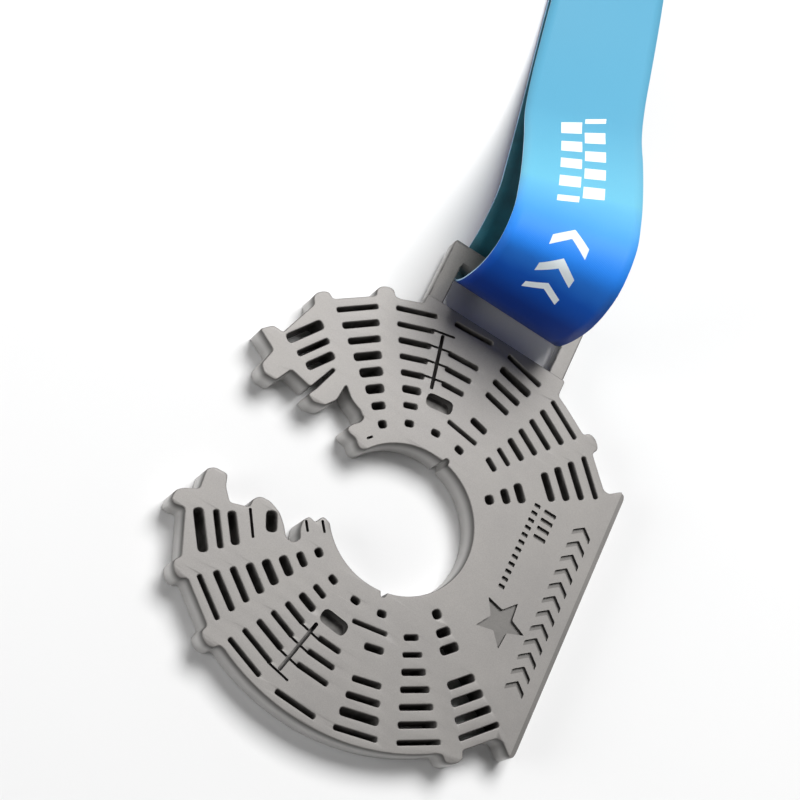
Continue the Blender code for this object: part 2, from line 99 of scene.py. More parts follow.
# Ribbon routes from the bar out to the fold: x from the middle of the frame, y from the bar and z
# above the table in millimetres, then the turn of its width to the left and the rise of its right
# edge in degrees.
FRONT_ROUTE = (
    (-0.4, -8.2, 13.0, 0, 3), (-1.0, -9.2, 24.0, 0, 6), (-2.0, -6.8, 32.6, 2, 10),
    (-2.8, 0.4, 34.6, 5, 14), (-3.2, 9.4, 30.6, 7, 16), (-3.4, 19.0, 24.5, 8, 18),
    (-3.6, 28.8, 17.6, 10, 19), (-4.4, 38.6, 11.4, 11, 19), (-5.4, 48.8, 7.4, 11, 16),
    (-6.8, 60.4, 4.8, 11, 12), (-8.8, 73.4, 3.2, 11, 6), (-11.0, 85.4, 2.3, 11, 1),
    (-12.0, 90.4, 2.15, 11, 0),
)
BACK_ROUTE = (
    (0.0, 9.4, 3.6, 0, 0), (-0.2, 18.4, 3.8, 0, 0), (-1.2, 28.4, 2.4, 4, 0),
    (-2.6, 38.4, 1.4, 8, 0), (-4.6, 49.8, 1.0, 10, 0), (-6.8, 61.4, 0.85, 11, 0),
    (-9.0, 73.4, 0.85, 11, 0), (-11.0, 85.4, 0.85, 11, 0), (-12.0, 90.4, 0.85, 11, 0),
)
FOLD_RUNS = 3
FOLD_HEADING = 11.0
FOLD_LENGTH = 94.0 * MM
FOLD_SETBACK = 4.0 * MM
FOLD_RISE = 4.2 * MM
LAYER_OFFSET = 0.65 * MM

# Rows of the seam, and one stitch: (place in pitches, height in threads, relative thickness).
SEAM_ROWS = 3
STITCH_ARC = ((0.0, -0.6, 0.6), (0.1, 0.1, 0.9), (0.3, 0.4, 1.0), (0.5, 0.4, 1.0),
              (0.64, 0.1, 0.9), (0.7, -0.6, 0.6))

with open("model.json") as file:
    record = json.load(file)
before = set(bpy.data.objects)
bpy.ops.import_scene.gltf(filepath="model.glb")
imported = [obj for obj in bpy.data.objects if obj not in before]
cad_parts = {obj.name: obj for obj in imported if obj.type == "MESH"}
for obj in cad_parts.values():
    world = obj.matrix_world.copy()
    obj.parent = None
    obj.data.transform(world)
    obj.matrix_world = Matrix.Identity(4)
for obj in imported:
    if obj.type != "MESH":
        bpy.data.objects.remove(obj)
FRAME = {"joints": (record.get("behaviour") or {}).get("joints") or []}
CAD_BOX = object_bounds()
SWING_AXIS = Vector(FRAME["joints"][0]["pos_m"])
RIBBON_NODES = ("ribbon_bar_turn", "ribbon_front_run", "ribbon_back_run", "ribbon_front_folds",
                "ribbon_back_folds")


def length_setting(name, default, description):
    return FloatProperty(name=name, description=description, default=default, min=0.0,
                         unit="LENGTH", precision=5)


def angle_setting(name, degrees, description):
    return FloatProperty(name=name, description=description, default=math.radians(degrees),
                         subtype="ANGLE")


def color_setting(name, default, description):
    return FloatVectorProperty(name=name, description=description, default=default, size=3,
                               min=0.0, max=1.0, subtype="COLOR")


class MedalCastingSettings(bpy.types.PropertyGroup):
    """Sizes and finish of the casting."""

    hole_radius: length_setting("Hole Radius", 15.0 * MM, "Radius of the open middle of the ring")
    rim_radius: length_setting("Rim Radius", 44.8 * MM, "Radius of the ring without its spoke tips")
    thickness: length_setting("Thickness", 6.5 * MM, "Thickness of the casting")
    spoke_width: length_setting("Spoke Width", 4.0 * MM, "Solid width between neighbouring slots")
    tip_reach: length_setting("Tip Reach", 2.3 * MM, "How far a spoke stands out past the rim")
    plate_nick: length_setting("Plate Nick", 3.6 * MM, "Size of the nick beside the plate's corners")
    edge_softness: length_setting("Edge Softness", 0.22 * MM, "Rounding of the casting's edges")
    engraving_depth: length_setting("Engraving Depth", 0.6 * MM, "Depth of the marks on the plate")
    recess_depth: length_setting("Recess Depth", 2.2 * MM, "Depth of the grooves and wells")
    frame_arm: length_setting("Frame Arm", 3.65 * MM, "Width of the ribbon frame's two sides")
    frame_window: length_setting("Frame Window", 9.6 * MM, "Opening of the frame along the ribbon")
    frame_thickness: length_setting("Frame Thickness", 3.2 * MM, "Thickness of the ribbon frame")
    frame_drop: length_setting("Frame Drop", 1.0 * MM, "Step from the face down to the frame")
    frame_centre: length_setting("Frame Centre", 1.55 * MM, "How far the frame stands off the middle")
    bar_depth: length_setting("Bar Depth", 5.3 * MM, "Width of the bar that the ribbon turns round")
    bar_rounding: length_setting("Bar Rounding", 1.2 * MM, "Rounding of the bar's long edges")
    arrows: IntProperty(name="Arrowheads", description="Arrowheads engraved along the plate",
                        default=12, min=1, max=16)
    color: color_setting("Nickel", (0.245, 0.234, 0.222), "Colour of the blasted nickel plate")
    shade_color: color_setting("Nickel Shade", (0.200, 0.191, 0.183), "Colour of duller patches")
    # The foot colour of the side walls is painted light, standing in for light thrown up from the
    # floor.
    wall_foot_painted_light: color_setting("Side Walls", (0.50, 0.49, 0.48), "Colour at the foot of the side walls")
    # The recess colour is painted shade, inside the slots and recesses and at the top of the side
    # walls.
    painted_shade_color: color_setting("Recess", (0.085, 0.081, 0.077), "Colour inside slots and recesses")
    roughness: FloatProperty(name="Roughness", description="Roughness of the blasted face",
                             default=0.5, min=0.0, max=1.0, subtype="FACTOR")

    def across_ring(self, place):
        """Radius of a place between the hole (0) and the rim (1)."""
        return self.hole_radius + place * (self.rim_radius - self.hole_radius)

    def plate_reach(self):
        """Distance from the centre of the ring to the straight edge of the plate."""
        return PLATE_REACH * self.rim_radius

    def across_plate(self, place):
        """X of a place between the hole (0) and the straight edge of the plate (1)."""
        return self.hole_radius + place * (self.plate_reach() - self.hole_radius)

    def frame_height(self):
        """Height of the middle of the ribbon frame."""
        return self.thickness - self.frame_drop - self.frame_thickness / 2


class MedalRibbonSettings(bpy.types.PropertyGroup):
    """Sizes and colours of the ribbon."""

    width: length_setting("Width", 25.0 * MM, "Width of the satin ribbon")
    thickness: length_setting("Thickness", 0.45 * MM, "Thickness of the satin ribbon")
    side_clearance: length_setting("Side Clearance", 0.5 * MM, "Gap between ribbon and frame")
    wrap_gap: length_setting("Wrap Gap", 0.2 * MM, "Gap between ribbon and the corners of the bar")
    weave_pitch: length_setting("Weave Pitch", 0.32 * MM, "Distance between threads of the satin")
    thread: length_setting("Sewing Thread", 0.3 * MM, "Thickness of the thread in the seam")
    stitch_pitch: length_setting("Stitch Pitch", 2.4 * MM, "Distance between stitches of the seam")
    deep_color: color_setting("Navy", (0.001, 0.034, 0.26), "Print at the bar")
    strong_color: color_setting("Royal", (0.002, 0.088, 0.50), "Print above the navy")
    mid_color: color_setting("Azure", (0.025, 0.245, 0.88), "Print at the middle of the gradient")
    light_color: color_setting("Cyan", (0.14, 0.49, 0.68), "Print at the top of the gradient")
    sky_color: color_setting("Sky", (0.11, 0.38, 0.56), "Print along the rest of the ribbon")
    back_color: color_setting("Back", (0.008, 0.13, 0.18), "Unprinted back of the ribbon")
    edge_color: color_setting("Edge", (0.30, 0.55, 0.80), "Heat-cut edge of the ribbon")
    print_color: color_setting("Motif", (0.86, 0.93, 0.96), "White motif on the ribbon")
    thread_color: color_setting("Thread", (0.05, 0.30, 0.62), "Sewing thread of the seam")


class MedalStageSettings(bpy.types.PropertyGroup):
    """Floor, lights and camera."""

    floor_color: color_setting("Floor", (0.86, 0.86, 0.86), "Colour of the floor")
    floor_size: length_setting("Floor Size", 6.0, "Side of the floor")
    focal_length: FloatProperty(name="Focal Length", description="Focal length in millimetres",
                                default=94.9, min=10.0, max=300.0)
    azimuth: angle_setting("Azimuth", -115.0, "Direction of the camera round the medal")
    tilt: angle_setting("Tilt", 28.8, "Camera's angle away from straight above")
    roll: angle_setting("Roll", 54.3, "Turn of the camera about its line of sight")
    distance: length_setting("Distance", 409.6 * MM, "Camera to the point that it looks at")
    look_at: FloatVectorProperty(name="Look At", description="Point on the medal's face plane",
                                 default=(-10.8 * MM, 21.2 * MM, 6.5 * MM), size=3,
                                 subtype="TRANSLATION", unit="LENGTH")


def add_object(name, data):
    """New object of the scene."""
    item = bpy.data.objects.new(name, data)
    bpy.context.scene.collection.objects.link(item)
    return item


def mesh_of_shape(name, shape):
    """New mesh with the faces of a shape, which is freed."""
    mesh = bpy.data.meshes.new(name)
    shape.to_mesh(mesh)
    shape.free()
    return mesh


def medal_centre():
    """Where the centre of the ring lies on the table."""
    cast = bpy.context.scene.medal_casting
    return SWING_AXIS - Vector((cast.frame_centre, bar_centre_y(), cast.frame_height()))


# Flat outlines of the casting


def polar(radius, degrees):
    """Point at an angle around the centre of the ring."""
    angle = math.radians(degrees)
    return (radius * math.cos(angle), radius * math.sin(angle))


def arc(radius, start, end, step=2.0):
    """Points of an arc of the ring, including both ends."""
    count = max(1, round(abs(end - start) / step))
    return [polar(radius, start + (end - start) * i / count) for i in range(count + 1)]


def rounded(points, radius, steps=4):
    """Closed outline with its corners eased, as a casting has them."""
    result = []
    for before, corner, after in zip(points[-1:] + points[:-1], points, points[1:] + points[:1]):
        here = Vector(corner)
        back, ahead = Vector(before) - here, Vector(after) - here
        if back.length < 1e-7 or ahead.length < 1e-7:
            continue
        if math.pi - back.angle(ahead) < math.radians(12):
            result.append(tuple(here))
            continue
        start = here + back.normalized() * min(radius, 0.45 * back.length)
        end = here + ahead.normalized() * min(radius, 0.45 * ahead.length)
        for i in range(steps + 1):
            t = i / steps
            result.append(tuple(start * (1 - t) ** 2 + here * 2 * t * (1 - t) + end * t ** 2))
    return result


def spoke_tip(cast, degrees):
    """End of a spoke that stands out past the rim, passed counter-clockwise."""
    half = math.degrees(cast.spoke_width / 2 / cast.rim_radius)
    rim, reach = cast.rim_radius, cast.tip_reach
    return [
        polar(rim + 0.15 * reach, degrees - half),
        polar(rim + 0.8 * reach, degrees - 0.85 * half),
        polar(rim + reach, degrees - 0.3 * half),
        polar(rim + reach, degrees + 0.4 * half),
        polar(rim + 0.7 * reach, degrees + 0.95 * half),
        polar(rim + 0.1 * reach, degrees + 1.05 * half),
    ]


def hole_nick(cast, degrees):
    """Small round nick in the edge of the central hole, passed clockwise."""
    deep = cast.hole_radius + HOLE_NICK_DEPTH
    return [
        polar(cast.hole_radius, degrees + HOLE_NICK_ANGLE),
        polar(deep, degrees + 0.6 * HOLE_NICK_ANGLE),
        polar(deep, degrees - 0.6 * HOLE_NICK_ANGLE),
        polar(cast.hole_radius, degrees - HOLE_NICK_ANGLE),
    ]


def spoke(number):
    """Angle of a spoke, counted from the plate's side of the first pierced sector."""
    return (number + 2) * SECTOR_ANGLE


def window_half_width():
    ribbon = bpy.context.scene.medal_ribbon
    return ribbon.width / 2 + ribbon.side_clearance


def frame_sides(cast):
    """Left and right outer edges of the ribbon frame."""
    half = window_half_width() + cast.frame_arm
    return cast.frame_centre - half, cast.frame_centre + half


def frame_window(cast):
    """Sides and ends of the window that the ribbon passes through: x0, x1, y0, y1."""
    half = window_half_width()
    bottom = cast.rim_radius + 0.1 * MM
    return cast.frame_centre - half, cast.frame_centre + half, bottom, bottom + cast.frame_window


def bar_centre_y():
    """Y of the middle of the frame's bar."""
    cast = bpy.context.scene.medal_casting
    return frame_window(cast)[3] + cast.bar_depth / 2


def rim_at(cast, x):
    """Angle at which the rim has a given x on the frame's side."""
    return math.degrees(math.acos(x / cast.rim_radius))


def plate_corner(cast, side):
    """Corner of the flat-sided plate with the nick beside it, from the ring out to the corner."""
    x = cast.plate_reach()
    nick = x - cast.plate_nick
    slope = math.tan(math.radians(PLATE_ANGLE))
    nick_slope = math.tan(math.radians(PLATE_ANGLE + 1.1))
    return [
        polar(cast.rim_radius + 0.1 * cast.tip_reach, side * (PLATE_ANGLE + 2.2)),
        (nick, side * nick * nick_slope),
        (x - 1.2 * MM, side * (x * slope + 0.4 * MM)),
        (x - 0.3 * MM, side * (x * slope + 0.2 * MM)),
        (x, side * (x * slope - 0.8 * MM)),
    ]


def body_outline(cast):
    """Edge of the casting: round the rim, back along the central hole, and round its open ends."""
    left, right = frame_sides(cast)
    pad_top = cast.rim_radius - 0.2 * MM
    hole_radius, rim_radius = cast.hole_radius, cast.rim_radius
    upper_end = [polar(cast.across_ring(place), angle) for place, angle in UPPER_OPEN_END]
    lower_end = [polar(cast.across_ring(place), angle) for place, angle in LOWER_OPEN_END]
    outline = plate_corner(cast, 1)[::-1]
    outline += spoke_tip(cast, spoke(1))
    outline += arc(rim_radius, spoke(1) + 8, rim_at(cast, right))
    outline += [(right, pad_top), (left, pad_top)]
    outline += arc(rim_radius, rim_at(cast, left), spoke(5) - 4)
    outline += spoke_tip(cast, spoke(5)) + spoke_tip(cast, spoke(6))
    outline += upper_end
    outline += arc(hole_radius, HOLE_ARC_END, 83) + hole_nick(cast, 79) + arc(hole_radius, 75, -75)
    outline += hole_nick(cast, -79) + arc(hole_radius, -83, -HOLE_ARC_END)
    outline += lower_end
    outline += spoke_tip(cast, -spoke(6)) + spoke_tip(cast, -spoke(5))
    outline += arc(rim_radius, 4 - spoke(5), -spoke(1) - 4)
    outline += spoke_tip(cast, -spoke(1)) + plate_corner(cast, -1)
    return rounded(outline, 0.6 * MM, 3)


def slot(radius, degrees, length, width, turn=90.0):
    """Slot with round corners, centred at a radius, at right angles to it unless turned."""
    half, wide = length / 2, width / 2
    direction = math.radians(degrees + turn)
    x, y = polar(radius, degrees)
    cosine, sine = math.cos(direction), math.sin(direction)
    corners = [(x + u * cosine - v * sine, y + u * sine + v * cosine)
               for u, v in ((half, wide), (-half, wide), (-half, -wide), (half, -wide))]
    return rounded(corners, 0.42 * min(length, width), 3)


def ring_slots(cast):
    """Every slot that pierces the ring."""
    slots = []
    for number, rows in enumerate(SECTOR_SLOTS):
        angle = (number + 2.5) * SECTOR_ANGLE
        for place, width in rows:
            radius = cast.across_ring(place)
            chord = 2 * radius * math.tan(math.radians(SECTOR_ANGLE / 2))
            for side in (1, -1):
                slots.append(slot(radius, side * angle, chord - cast.spoke_width, width * MM))
    for side in (1, -1):
        slots.append(slot(cast.across_ring(0.255), side * (spoke(3) - 4.2), 7.2 * MM, 0.8 * MM))
    slots.append(slot(cast.across_ring(0.39), -147.6, 4.0 * MM, 2.1 * MM, 83.0))
    return slots


def rectangle(x0, x1, y0, y1, ease):
    """Rectangle with round corners."""
    return rounded([(x0, y0), (x1, y0), (x1, y1), (x0, y1)], ease)


def star(x, y, radius):
    """Five-pointed star with one point along +X."""
    points = []
    for i in range(10):
        reach = radius if i % 2 == 0 else 0.45 * radius
        points.append((x + reach * math.cos(math.pi * i / 5), y + reach * math.sin(math.pi * i / 5)))
    return rounded(points, 0.25 * MM, 2)


def arrowhead(x, y, length, width, stroke):
    """Arrowhead pointing along +Y, as wide as the row that it stands in."""
    left, right, back, front = x - width / 2, x + width / 2, y - length / 2, y + length / 2
    return rounded([(left, back), (x, front - stroke), (right, back), (right, back + stroke),
                    (x, front), (left, back + stroke)], 0.2 * MM, 2)


def mark_row(cast, left, right, start, pitch, count):
    """Row of small oblong marks that climbs along Y, between two places across the plate."""
    x0, x1 = cast.across_plate(left), cast.across_plate(right)
    height = 0.48 * pitch
    return [rectangle(x0, x1, start + i * pitch, start + i * pitch + height, 0.3 * height)
            for i in range(count)]


# Meshes of the casting


def outline_mesh(name, outlines, bottom, top, softness=0.0):
    """Closed mesh of flat outlines between two heights, with rounded edges if they have softness."""
    curve = bpy.data.curves.new(name, "CURVE")
    curve.dimensions = "2D"
    curve.fill_mode = "BOTH"
    curve.extrude = (top - bottom) / 2 - softness
    curve.bevel_depth = softness
    curve.bevel_resolution = 2
    curve.offset = -softness
    for outline in outlines:
        spline = curve.splines.new("POLY")
        spline.points.add(len(outline) - 1)
        for point, (x, y) in zip(spline.points, outline):
            point.co = (x, y, 0.0, 1.0)
        spline.use_cyclic_u = True
    return mesh_of_curve(name, curve, (top + bottom) / 2)


def mesh_of_curve(name, curve, height=0.0):
    """Closed mesh of a thick curve, lifted to a height."""
    holder = add_object(name, curve)
    bpy.context.view_layer.update()
    mesh = bpy.data.meshes.new_from_object(
        holder.evaluated_get(bpy.context.evaluated_depsgraph_get()))
    mesh.transform(Matrix.Translation((0, 0, height)))
    bpy.data.objects.remove(holder, do_unlink=True)
    shape = bmesh.new()
    shape.from_mesh(mesh)
    bmesh.ops.remove_doubles(shape, verts=shape.verts, dist=1e-6)
    bmesh.ops.recalc_face_normals(shape, faces=shape.faces)
    shape.to_mesh(mesh)
    shape.free()
    mesh.name = name
    return mesh


def frame_mesh(cast):
    """Frame for the ribbon, which is cast in one with the ring and thinner than it."""
    left, right = frame_sides(cast)
    inset = 0.2 * MM
    x0, x1, y0, y1 = frame_window(cast)
    outer = rectangle(left + inset, right - inset, cast.rim_radius - 1.5 * MM, y1 + cast.bar_depth,
                      1.6 * MM)
    window = rectangle(x0, x1, y0, y1, 0.4 * MM)
    bottom = cast.frame_height() - cast.frame_thickness / 2
    return outline_mesh("ribbon_frame", [outer, window], bottom, bottom + cast.frame_thickness,
                        1.4 * cast.edge_softness)


def bar_corner_cuts(cast):
    """Strips that round off the long edges of the frame's bar, so that the ribbon rolls over it."""
    x0, x1, _, inner = frame_window(cast)
    left, right = frame_sides(cast)
    outer = inner + cast.bar_depth
    low = cast.frame_height() - cast.frame_thickness / 2
    high = low + cast.frame_thickness
    steps = 8
    section = [(-1.0, -1.0), (1.0, -1.0)]
    section += [(1.0 - math.sin(math.pi * i / 2 / steps), 1.0 - math.cos(math.pi * i / 2 / steps))
                for i in range(steps + 1)]
    section += [(-1.0, 1.0)]
    shape = bmesh.new()
    for y, z, turn, start, end in ((inner, low, 0, x0, x1), (outer, low, 90, left - MM, right + MM),
                                   (outer, high, 180, left - MM, right + MM),
                                   (inner, high, 270, x0, x1)):
        cosine, sine = round(math.cos(math.radians(turn))), round(math.sin(math.radians(turn)))
        corners = [shape.verts.new((start, y + cast.bar_rounding * (u * cosine - v * sine),
                                    z + cast.bar_rounding * (u * sine + v * cosine)))
                   for u, v in section]
        side = bmesh.ops.extrude_face_region(shape, geom=[shape.faces.new(corners)])
        moved = [item for item in side["geom"] if isinstance(item, bmesh.types.BMVert)]
        bmesh.ops.translate(shape, verts=moved, vec=(end - start, 0, 0))
    bmesh.ops.recalc_face_normals(shape, faces=shape.faces)
    return mesh_of_shape("bar_corner_cuts", shape)


def sunk_mesh(cast, name, outlines, depth, softness=0.0):
    """Cutter that sinks outlines to a depth below the face."""
    return outline_mesh(name, outlines, cast.thickness - depth, cast.thickness + MM, softness)


def plate_marks(cast):
    """Shallow marks on the plate: a star, a row of arrowheads and two rows of tallies."""
    pitch = 3.2 * MM
    marks = [star(cast.across_plate(0.458), -7.6 * MM, 5.4 * MM)]
    marks += [arrowhead(cast.across_plate(0.779), (i - (cast.arrows - 1) / 2) * pitch, 0.9 * pitch,
                        1.3 * pitch, 0.37 * pitch) for i in range(cast.arrows)]
    marks += mark_row(cast, 0.317, 0.373, -1.6 * MM, 1.7 * MM, 12)
    marks += mark_row(cast, 0.414, 0.526, 11.2 * MM, 1.9 * MM, 4)
    return sunk_mesh(cast, "plate_marks", marks, cast.engraving_depth)


def plate_edge_step(cast):
    """Low step along the straight edge of the plate."""
    low, high = cast.plate_reach() - EDGE_STEP, cast.plate_reach() + MM
    edge = [(low, -high), (high, -high), (high, high), (low, high)]
    return sunk_mesh(cast, "plate_edge_step", [edge], cast.engraving_depth)


def sunk_lanes(cast):
    """Deeper grooves across the slot rows, and the two rectangular wells beside the hole."""
    ring = cast.rim_radius - cast.hole_radius
    lanes = []
    for side in (1, -1):
        lanes.append(slot(cast.across_ring(0.62), side * spoke(4), 0.4 * ring, 0.8 * MM, 0.0))
        lanes.append(slot(cast.across_ring(0.345), side * (spoke(4) - 5.3), 5.8 * MM, 0.1 * ring))
    return sunk_mesh(cast, "sunk_lanes", lanes, cast.recess_depth, 0.2 * MM)


def linking_lines(cast):
    """Fine lines that join the slots on both sides of the two long grooves."""
    widening = 1 / math.cos(math.radians(SECTOR_ANGLE / 2))
    lines = []
    for side in (1, -1):
        for place in (0.485, 0.595, 0.705, 0.815):
            lines.append(slot(cast.across_ring(place) * widening, side * spoke(4),
                              cast.spoke_width + 1.2 * MM, 0.5 * MM))
    return sunk_mesh(cast, "linking_lines", lines, 0.5 * cast.recess_depth)


def hand_slits(cast):
    """Fine slits in the fingers of the ragged ends."""
    slits = []
    for place, degrees, length, width in ((0.064, 139.5, 1.4, 0.5), (0.048, -143.5, 2.5, 0.55),
                                          (0.159, -144.7, 2.3, 0.55), (0.524, -147.2, 5.7, 0.6)):
        slits.append(slot(cast.across_ring(place), degrees, length * MM, width * MM))
    return sunk_mesh(cast, "hand_slits", slits, 0.5 * cast.recess_depth)


def apply_boolean(body, mesh, operation):
    """Join or cut the body with a mesh, and keep the result as its own mesh."""
    tool = add_object(mesh.name, mesh)
    change = body.modifiers.new(mesh.name, "BOOLEAN")
    change.operation = operation
    change.object = tool
    change.solver = "EXACT"
    bpy.context.view_layer.update()
    graph = bpy.context.evaluated_depsgraph_get()
    result = bpy.data.meshes.new_from_object(body.evaluated_get(graph))
    body.modifiers.remove(change)
    body.data = result
    bpy.data.objects.remove(tool, do_unlink=True)


def close_to(point, corners, margin):
    """Whether a point lies within a margin of an outline, seen from above."""
    reach = margin + max(math.dist(corners[0], corner) for corner in corners)
    spot = Vector((point.x, point.y))
    if math.dist(spot, corners[0]) > reach:
        return False
    for start, end in zip(corners, corners[1:] + corners[:1]):
        start, side = Vector(start), Vector(end) - Vector(start)
        place = min(1.0, max(0.0, (spot - start).dot(side) / side.length_squared))
        if (spot - start - side * place).length < margin:
            return True
    return False


def mark_recesses(mesh, cast, slots):
    """Give slots and sunk lanes the dark painted-shade material, and the floors of sunk marks the
    darker painted-shade nickel.
    """
    top = cast.thickness
    for face in mesh.polygons:
        middle = face.center
        depth = top - middle.z
        if abs(face.normal.z) < 0.35:
            # Slot walls below the top edge get painted shade.
            inner = any(close_to(middle, corners, 0.3 * MM) for corners in slots)
            if inner and depth > 0.1 * MM:
                face.material_index = 1
        elif face.normal.z > 0.5 and middle.z > top - cast.recess_depth - 0.1 * MM:
            on_plate = cast.across_plate(0.2) < middle.x
            # Floors deeper than the marks get painted shade.
            if depth > 1.02 * MM:
                face.material_index = 1
            # Floors of the sunk marks on the plate get the darker nickel of painted shade.
            elif depth > 0.3 * MM and on_plate and abs(middle.y) < cast.plate_reach():
                face.material_index = 2


def casting_mesh(cast):
    """The whole casting, as one bevelled mesh around the centre of the ring."""
    slots = ring_slots(cast)
    mesh = outline_mesh("medal_casting", [body_outline(cast)] + slots, 0.0, cast.thickness,
                        cast.edge_softness)
    body = add_object("medal_casting", mesh)
    apply_boolean(body, frame_mesh(cast), "UNION")
    for cutter in (bar_corner_cuts, plate_edge_step, plate_marks, sunk_lanes, linking_lines,
                   hand_slits):
        apply_boolean(body, cutter(cast), "DIFFERENCE")
    return body, slots


# Ribbon


def curve_through(points, per_span):
    """Smooth curve through points of any number of values, as a list with its ends."""
    result = []
    for i in range(len(points) - 1):
        before = points[max(i - 1, 0)]
        after = points[min(i + 2, len(points) - 1)]
        for j in range(per_span):
            t = j / per_span
            result.append(tuple(
                0.5 * (2 * b + (c - a) * t + (2 * a - 5 * b + 4 * c - d) * t ** 2
                       + (3 * b - a - 3 * c + d) * t ** 3)
                for a, b, c, d in zip(before, points[i], points[i + 1], after)))
    result.append(tuple(points[-1]))
    return result


def stations(points, per_span=10):
    """Centre and width direction of the ribbon at each step along a route."""
    result = []
    for x, y, z, turn, rise in curve_through(points, per_span):
        turn, rise = math.radians(turn), math.radians(rise)
        across = Vector((math.cos(turn) * math.cos(rise), math.sin(turn) * math.cos(rise),
                         math.sin(rise)))
        result.append((Vector((x, y, z)), across))
    return result


def from_bar(route):
    """Points of a route, in metres and placed from the middle of the frame and its bar."""
    middle = bpy.context.scene.medal_casting.frame_centre
    return [(middle + x * MM, bar_centre_y() + y * MM, z * MM, turn, rise)
            for x, y, z, turn, rise in route]


def bar_side(side):
    """Where the ribbon leaves the underside of the bar: 1 for the back run, -1 for the front."""
    cast = bpy.context.scene.medal_casting
    y = bar_centre_y() + side * 0.92 * cast.bar_depth / 2
    return (cast.frame_centre, y, wrap_height() + 0.5 * MM, 0, 0)


def wrap_height():
    """Height of the ribbon under the bar, clear of the bar's corners."""
    cast, ribbon = bpy.context.scene.medal_casting, bpy.context.scene.medal_ribbon
    corner = math.hypot(cast.bar_depth / 2 - cast.bar_rounding,
                        cast.frame_thickness / 2 - cast.bar_rounding)
    return cast.frame_height() - corner - cast.bar_rounding - ribbon.wrap_gap - 0.25 * MM


def fold_stations(offset):
    """Zigzag of one layer of the doubled ribbon: out, back and out again, each run on the last."""
    heading = math.radians(FOLD_HEADING)
    forward = Vector((-math.sin(heading), math.cos(heading), 0))
    across = Vector((math.cos(heading), math.sin(heading), 0))
    x, y = from_bar(BACK_ROUTE)[-1][:2]
    base = Vector((x, y, (FRONT_ROUTE[-1][2] + BACK_ROUTE[-1][2]) / 2 * MM))
    path = []
    for run in range(FOLD_RUNS):
        direction = 1 if run % 2 == 0 else -1
        height = run * FOLD_RISE + direction * offset
        start = 0.0 if run == 0 else FOLD_LENGTH if direction == -1 else FOLD_SETBACK
        end = FOLD_LENGTH if direction == 1 else FOLD_SETBACK
        if run == FOLD_RUNS - 1:
            end -= direction * FOLD_SETBACK
        path += [(start + (end - start) * i / 16, height) for i in range(17)]
        if run < FOLD_RUNS - 1:
            bend = FOLD_RISE / 2 - direction * offset
            for i in range(1, 16):
                angle = math.pi * i / 16
                path.append((end + direction * bend * math.sin(angle),
                             run * FOLD_RISE + FOLD_RISE / 2 - bend * math.cos(angle)))
    return [(base + forward * u + Vector((0, 0, w)), across) for u, w in path]


def ribbon_path():
    """The whole ribbon, from the sewn end of its front layer round the bar to that of its back.

    Also returns which step of the path lies at the bar.
    """
    cast = bpy.context.scene.medal_casting
    risen = (cast.frame_centre, bar_centre_y() - cast.bar_depth, cast.frame_height() + 0.3 * MM, 0, 0)
    front = stations([bar_side(-1), risen] + from_bar(FRONT_ROUTE))
    turn = stations([bar_side(1), (cast.frame_centre, bar_centre_y(), wrap_height(), 0, 0),
                     bar_side(-1)], 6)
    back = stations([bar_side(1)] + from_bar(BACK_ROUTE))
    front_folds = fold_stations(LAYER_OFFSET)
    back_folds = fold_stations(-LAYER_OFFSET)
    path = front_folds[:0:-1] + front[::-1] + turn[-2:0:-1] + back + back_folds[1:]
    return path, len(front_folds) - 1 + len(front) - 1


def ribbon_mesh(ribbon):
    """Open strip of ribbon. Its UV map holds the place across, 0 to 1, and along, in widths."""
    path, bar_station = ribbon_path()
    columns = 12
    distance = [0.0]
    for (first, _), (second, _) in zip(path, path[1:]):
        distance.append(distance[-1] + (second - first).length)
    zero = distance[bar_station]
    shape = bmesh.new()
    uv_layer = shape.loops.layers.uv.new("ribbon")
    rows = []
    for (centre, across), along in zip(path, distance):
        rows.append([(shape.verts.new(centre + across * ribbon.width * (i / columns - 0.5)),
                      (i / columns, (zero - along) / ribbon.width)) for i in range(columns + 1)])
    for near, far in zip(rows, rows[1:]):
        for i in range(columns):
            corners = (near[i], far[i], far[i + 1], near[i + 1])
            face = shape.faces.new([vertex for vertex, _ in corners])
            face.smooth = True
            for loop, (_, uv) in zip(face.loops, corners):
                loop[uv_layer].uv = uv
    return mesh_of_shape("neck_ribbon", shape), distance[-1]


def seam_mesh(ribbon):
    """Rows of sewing stitches across the folded end, where both layers are sewn together."""
    path, _ = ribbon_path()
    end, across = path[0]
    inward = (path[1][0] - end).normalized()
    surface = end + Vector((0, 0, ribbon.thickness / 2))
    curve = bpy.data.curves.new("ribbon_seam", "CURVE")
    curve.dimensions = "3D"
    curve.bevel_depth = ribbon.thread / 2
    curve.bevel_resolution = 2
    curve.use_fill_caps = True
    count = int((ribbon.width - 2 * MM) / ribbon.stitch_pitch)
    for row in range(SEAM_ROWS):
        for i in range(count):
            start = (surface + inward * ribbon.stitch_pitch * (1 + row)
                     + across * ribbon.stitch_pitch * (i - count / 2 + 0.15))
            spline = curve.splines.new("POLY")
            spline.points.add(len(STITCH_ARC) - 1)
            for point, (step, lift, radius) in zip(spline.points, STITCH_ARC):
                place = start + across * ribbon.stitch_pitch * step
                point.co = (place.x, place.y, place.z + lift * ribbon.thread, 1.0)
                point.radius = radius
    return mesh_of_curve("ribbon_seam", curve)


# Materials


